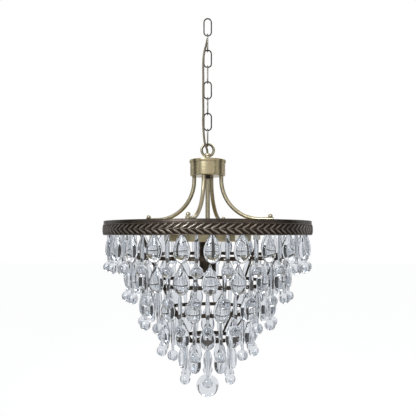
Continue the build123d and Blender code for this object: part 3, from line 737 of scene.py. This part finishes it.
band_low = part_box("lampholder_1")[0].z + groove_foot + 0.0001
band_width = 0.0009
band_inside = holder_radius - 0.0003
band_outside = holder_radius - 0.0001
bm = bmesh.new()
outline = [(band_inside, band_low), (band_outside, band_low + 0.0001)]
outline += [(band_outside, band_low + band_width - 0.0001), (band_inside, band_low + band_width)]
turned_shape(bm, outline, 40, closed=True)
bmesh.ops.translate(bm, verts=bm.verts, vec=(lamp_radius, 0, 0))
repeat_around(bm, 4, lamp_bearing)
finish_piece("lampholder_bands", bm, yellow_band, "fixture")
smooth_copy("lamp_shells", "lamp_screw_shells", shell_brass)
smooth_copy("lamp_arms", "lamp_side_tubes", tube_brass)


# ---- glass drops -----------------------------------------------------------------------------------------
# Clear pressed and fire-polished glass: flat almonds alternate with slim ball drops, five tiers of them. Each is
# drilled through its tip and hangs a little turned, as its hook lets it.

def bezier(points, steps):
    """Points of a cubic curve in the (radius, level) plane."""
    curve = []
    for i in range(steps + 1):
        t = i / steps
        weights = ((1 - t) ** 3, 3 * t * (1 - t) ** 2, 3 * t * t * (1 - t), t**3)
        curve.append(tuple(sum(w * p[axis] for w, p in zip(weights, points)) for axis in (0, 1)))
    return curve


clear_glass = surface(
    "clear_glass",
    {"Transmission Weight": 1.0, "IOR": 1.52, "Metallic": 0.0},
    {
        "Base Color": lambda w: blend_colours(w, grain(w, 30.0), (0.66, 0.69, 0.73, 1), (0.74, 0.76, 0.79, 1)),
        "Roughness": lambda w: 0.012 * grain(w, 200.0),
    },
    lambda w: grain(w, 70.0, 1.0), 0.00025)

hole_radius = 0.0012
hole_depth = 0.0033
tip_radius = 0.0010
drill_length = 0.0300


def drill(bm, name):
    """Cuts the hanging hole along X through a drop whose apex is at the origin, and returns it as a bmesh."""
    blank = bpy.data.objects.new(name, bpy.data.meshes.new(name))
    bmesh.ops.recalc_face_normals(bm, faces=bm.faces)
    bm.to_mesh(blank.data)
    bm.free()
    cutter_bm = bmesh.new()
    cutter_place = Matrix.Translation((0, 0, -hole_depth)) @ Matrix.Rotation(math.pi / 2, 4, "Y")
    bmesh.ops.create_cone(cutter_bm, cap_ends=True, segments=12, radius1=hole_radius, radius2=hole_radius,
                          depth=drill_length, matrix=cutter_place)
    cutter = bpy.data.objects.new(name + "_drill", bpy.data.meshes.new(name + "_drill"))
    cutter_bm.to_mesh(cutter.data)
    cutter_bm.free()
    for helper in (blank, cutter):
        bpy.context.scene.collection.objects.link(helper)
    cut = blank.modifiers.new("hole", "BOOLEAN")
    cut.operation = "DIFFERENCE"
    cut.object = cutter
    cut.solver = "EXACT"
    bpy.context.view_layer.update()
    drilled = bmesh.new()
    drilled.from_object(blank, bpy.context.evaluated_depsgraph_get())
    for helper in (blank, cutter):
        bpy.data.objects.remove(helper)
    return drilled


def pressed_tip(throat_half):
    """Outline of a drop's tip, from its apex down to the level of the hole."""
    return bezier([(0, 0), (tip_radius, 0), (throat_half * 0.8, -hole_depth * 0.5), (throat_half, -hole_depth)], 4)


almond_length = 0.0595
almond_half = 0.0165
almond_widest = 0.0375
almond_throat = 0.0032
almond_fullness = 0.56
almond_flatness = 0.5455


def almond_blank():
    """A flat drop that is widest low down, apex at the origin."""
    throat = (almond_throat, -hole_depth)
    shoulder = (almond_half, -almond_widest)
    belly = almond_fullness * (almond_length - almond_widest)
    outline = pressed_tip(almond_throat)
    outline += bezier([throat, (almond_throat * 1.5, -2.5 * hole_depth), (almond_half, -almond_widest * 0.6),
                       shoulder], 12)[1:]
    outline += bezier([shoulder, (almond_half, -almond_widest - belly),
                       (almond_fullness * almond_half, -almond_length), (0, -almond_length)], 9)[1:]
    bm = bmesh.new()
    turned_shape(bm, outline, 32)
    bmesh.ops.scale(bm, verts=bm.verts, vec=(almond_flatness, 1, 1))
    return bm


def ball_blank(length, ball, body, waist, throat_half, waist_depth, body_depth):
    """A stem with a waist above a ball, apex at the origin; ball, body and waist are radii."""
    neck_angle = math.degrees(math.acos(waist / ball))
    widest, narrowest = (body, -body_depth), (waist, -waist_depth)
    outline = pressed_tip(throat_half)
    outline += bezier([(throat_half, -hole_depth), (throat_half * 1.4, -2 * hole_depth),
                       (body, -body_depth * 0.65), widest], 8)[1:]
    outline += bezier([widest, (body, -(body_depth + waist_depth) / 2), (waist, -waist_depth * 0.83),
                       narrowest], 8)[1:]
    outline += circle_arc(0, ball - length, ball, neck_angle, -90, 18)
    outline[-1] = (0.0, -length)
    bm = bmesh.new()
    turned_shape(bm, outline, 32)
    return bm


random.seed(7)
tier_drops = [24, 20, 16, 12, 6]
tier_bearings = [2.3, 1.5, 11.25, 0.0, 30.0]
hoop_half_sheet = 0.00075
largest_twist = 9
ball_length = 0.0870
ball_radius = 0.01175
ball_waist = 0.0028
ball_neck = ball_length - ball_radius - math.sqrt(ball_radius**2 - ball_waist**2)


def hoop_radius(tier):
    """Radius of the middle of a hoop's sheet, where its drops' hooks hang."""
    low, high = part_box(f"hoop_{tier + 1}")
    return (high.x - low.x) / 2 - hoop_half_sheet


almond_bm = drill(almond_blank(), "almond_blank")
ball_bm = ball_blank(ball_length, ball_radius, body=0.0045, waist=ball_waist, throat_half=0.0021,
                     waist_depth=ball_neck, body_depth=ball_neck * 0.45)
ball_bm = drill(ball_bm, "ball_blank")
drop_meshes = {}
for kind, blank in (("almond", almond_bm), ("ball", ball_bm)):
    drop_meshes[kind] = bpy.data.meshes.new(kind + "_drop")
    blank.to_mesh(drop_meshes[kind])
    blank.free()

for tier in range(5):
    for kind, offset in (("almond", 0.0), ("ball", 0.5)):
        node = f"{kind}_drops_{tier + 1}"
        low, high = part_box(node)
        radius = hoop_radius(tier)
        step = 360 / tier_drops[tier]
        bm = bmesh.new()
        for i in range(tier_drops[tier]):
            known = len(bm.verts)
            bm.from_mesh(drop_meshes[kind])
            bm.verts.ensure_lookup_table()
            fresh = bm.verts[known:]
            twist = math.radians(random.uniform(-largest_twist, largest_twist))
            bmesh.ops.rotate(bm, verts=fresh, cent=(0, 0, 0), matrix=Matrix.Rotation(twist, 3, "Z"))
            bmesh.ops.translate(bm, verts=fresh, vec=(radius, 0, high.z))
            turn_to(bm, tier_bearings[tier] + (i + offset) * step, fresh)
        finish_piece(f"{kind}_glass_{tier + 1}", bm, clear_glass, "fixture", [node], 40.0)


# ---- hook rings ------------------------------------------------------------------------------------------
# Bright drawn wire bent into small rings, one through each hole of a hoop and the drop's tip below it.

bright_wire = surface(
    "bright_wire",
    {"Metallic": 1.0},
    {"Base Color": lambda w: blend_colours(w, grain(w, 200.0), (0.42, 0.40, 0.37, 1), (0.62, 0.60, 0.57, 1)),
     "Roughness": lambda w: 0.18 + 0.15 * grain(w, 700.0)})
hook_radius = 0.0060
hook_wire = 0.0006
hook_rise = 0.0030
bm = bmesh.new()
for tier in range(5):
    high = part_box(f"almond_drops_{tier + 1}")[1]
    radius = hoop_radius(tier)
    centre = high.z + hook_rise
    for i in range(2 * tier_drops[tier]):
        known = len(bm.verts)
        section = wire_ring(bm, hook_wire, (hook_radius, 0, 0), (0, 0, 1), 6)
        turn_on(bm, section, (0, 0, 0), (0, 1, 0), 360, 14)
        bm.verts.ensure_lookup_table()
        fresh = bm.verts[known:]
        bmesh.ops.translate(bm, verts=fresh, vec=(radius, 0, centre))
        turn_to(bm, tier_bearings[tier] + i * 180 / tier_drops[tier], fresh)
finish_piece("drop_hook_rings", bm, bright_wire, "fixture", ["drop_hooks"], 80.0)


# ---- foot hook and pendant -------------------------------------------------------------------------------
# One wire ring hangs in the eye under the spider and carries the large pendant, a fuller stem over a heavy ball, in
# the same clear glass as the drops.

hook_low, hook_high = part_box("foot_hook")
foot_wire = (hook_high.x - hook_low.x) / 2
foot_ring = (hook_high.z - hook_low.z) / 2 - foot_wire
foot_centre = (hook_low.z + hook_high.z) / 2
bm = bmesh.new()
section = wire_ring(bm, foot_wire, (0, foot_ring, foot_centre), (0, 0, 1), 10)
turn_on(bm, section, (0, 0, foot_centre), (1, 0, 0), 360, 32)
finish_piece("foot_hook_ring", bm, bright_wire, "foot_hook", ["foot_hook"], 80.0)

pendant_low, pendant_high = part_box("foot_pendant")
pendant_length = pendant_high.z - pendant_low.z
bm = ball_blank(pendant_length, ball=0.02515, body=0.0105, waist=0.0035, throat_half=0.0021,
                waist_depth=0.0580, body_depth=0.0243)
bm = drill(bm, "pendant_blank")
bmesh.ops.rotate(bm, verts=bm.verts, cent=(0, 0, 0), matrix=Matrix.Rotation(math.pi / 2, 3, "Z"))
bmesh.ops.translate(bm, verts=bm.verts, vec=(0, 0, pendant_high.z))
finish_piece("foot_pendant_glass", bm, clear_glass, "foot_pendant", ["foot_pendant"], 40.0)


# ---- studio ----------------------------------------------------------------------------------------------
# A plain pale floor below the lamp, a white surround, soft boxes and two dark flags beside the object that give the
# glass and the metal their dark edges.

camera_place = 0.0007
camera_distance = 1.224
camera_drop = 0.0017
camera_data = bpy.data.cameras.new("camera")
camera_data.lens = 48.0
camera_data.sensor_width = 36.0
camera_data.shift_y = 0.0673
camera = bpy.data.objects.new("camera", camera_data)
camera.location = (camera_place, -camera_distance, rim_low.z - camera_drop)
camera.rotation_euler = (math.radians(90), 0, 0)
bpy.context.scene.collection.objects.link(camera)
bpy.context.scene.camera = camera


def emptied(owner):
    """The node tree of a material or world, with its first nodes taken out."""
    owner.use_nodes = True
    tree = owner.node_tree
    for node in list(tree.nodes):
        tree.nodes.remove(node)
    return Wire(tree)


def show(shading, kind="ShaderNodeOutputMaterial"):
    """Makes a shading the surface of its material or world."""
    out = shading.tree.nodes.new(kind)
    shading.tree.links.new(shading.socket, out.inputs["Surface"])


def put_on_stage(name, bm, material):
    """A piece of the studio, which is no part of the object."""
    mesh = bpy.data.meshes.new(name)
    bm.to_mesh(mesh)
    bm.free()
    mesh.materials.append(material)
    item = bpy.data.objects.new(name, mesh)
    bpy.context.scene.collection.objects.link(item)


def seen_directly(wire):
    """1 for rays that show the background: to the camera, off metal and through glass."""
    path = wire.make("ShaderNodeLightPath")
    outputs = path.socket.node.outputs
    rays = [Wire(wire.tree, outputs[n]) for n in ("Is Camera Ray", "Is Glossy Ray", "Is Transmission Ray")]
    return wire.math("MINIMUM", rays[0] + rays[1] + rays[2], 1.0)


world = bpy.data.worlds.new("surround")
bpy.context.scene.world = world
wire = emptied(world)
dim = wire.make("ShaderNodeBackground", {"Color": (0.80, 0.83, 0.88, 1), "Strength": 0.55})
white = wire.make("ShaderNodeBackground", {"Color": (1, 1, 1, 1), "Strength": 1.0})
show(wire.make("ShaderNodeMixShader", {0: seen_directly(wire), 1: dim, 2: white}), "ShaderNodeOutputWorld")

floor_drop = 0.30
floor_half = 12.0
floor_finish = bpy.data.materials.new("floor_finish")
wire = emptied(floor_finish)
matt = wire.make("ShaderNodeBsdfDiffuse", {"Color": (0.92, 0.92, 0.92, 1)})
glow = wire.make("ShaderNodeEmission", {"Color": (1, 1, 1, 1), "Strength": 1.08})
show(wire.make("ShaderNodeMixShader", {0: seen_directly(wire) * 0.85, 1: matt, 2: glow}))
floor_place = Matrix.Translation((0, 0, cad_low.z - floor_drop))
bm = bmesh.new()
bmesh.ops.create_grid(bm, x_segments=1, y_segments=1, size=floor_half, matrix=floor_place)
put_on_stage("floor", bm, floor_finish)

flag_level = -0.45
flag_half_height = 0.9
flag_finish = bpy.data.materials.new("flag_finish")
wire = emptied(flag_finish)
path = wire.make("ShaderNodeLightPath")
camera_ray = Wire(wire.tree, path.socket.node.outputs["Is Camera Ray"])
black = wire.make("ShaderNodeBsdfDiffuse", {"Color": (0.03, 0.03, 0.03, 1)})
clear = wire.make("ShaderNodeBsdfTransparent", {"Color": (1, 1, 1, 1)})
show(wire.make("ShaderNodeMixShader", {0: camera_ray, 1: black, 2: clear}))
upright = Matrix.Rotation(math.pi / 2, 4, "X")
for side in (-1, 1):
    for across, along, half_width in ((1.2, 0.0, 0.28), (1.0, -0.9, 0.13), (0.95, 0.95, 0.13)):
        bm = bmesh.new()
        bmesh.ops.create_grid(bm, x_segments=1, y_segments=1, size=1.0, matrix=upright)
        bmesh.ops.scale(bm, verts=bm.verts, vec=(half_width, 1, flag_half_height))
        heading = math.atan2(along, side * across) + math.pi / 2
        bmesh.ops.rotate(bm, verts=bm.verts, cent=(0, 0, 0), matrix=Matrix.Rotation(heading, 3, "Z"))
        bmesh.ops.translate(bm, verts=bm.verts, vec=(side * across, along, flag_level))
        put_on_stage("flag", bm, flag_finish)


def soft_box(name, place, aim, size, power, colour):
    """An area lamp aimed at a point."""
    data = bpy.data.lights.new(name, "AREA")
    data.shape = "RECTANGLE"
    data.size, data.size_y = size
    data.energy = power
    data.color = colour
    lamp = bpy.data.objects.new(name, data)
    lamp.location = place
    lamp.rotation_euler = (Vector(aim) - Vector(place)).to_track_quat("-Z", "Y").to_euler()
    bpy.context.scene.collection.objects.link(lamp)


soft_box("key", place=(-0.9, -1.6, 0.55), aim=(0, 0, -0.45), size=(0.5, 0.9),
         power=26.0, colour=(0.86, 0.93, 1.0))
soft_box("fill", place=(1.3, -1.2, 0.15), aim=(0, 0, -0.45), size=(0.35, 0.9),
         power=12.0, colour=(1.0, 0.97, 0.92))
soft_box("back", place=(0.3, 1.5, 0.6), aim=(0, 0, -0.5), size=(1.2, 0.8),
         power=10.0, colour=(1.0, 1.0, 1.0))

scene = bpy.context.scene
scene.view_settings.view_transform = "Standard"
scene.cycles.max_bounces = 24
scene.cycles.transmission_bounces = 24
scene.cycles.transparent_max_bounces = 16
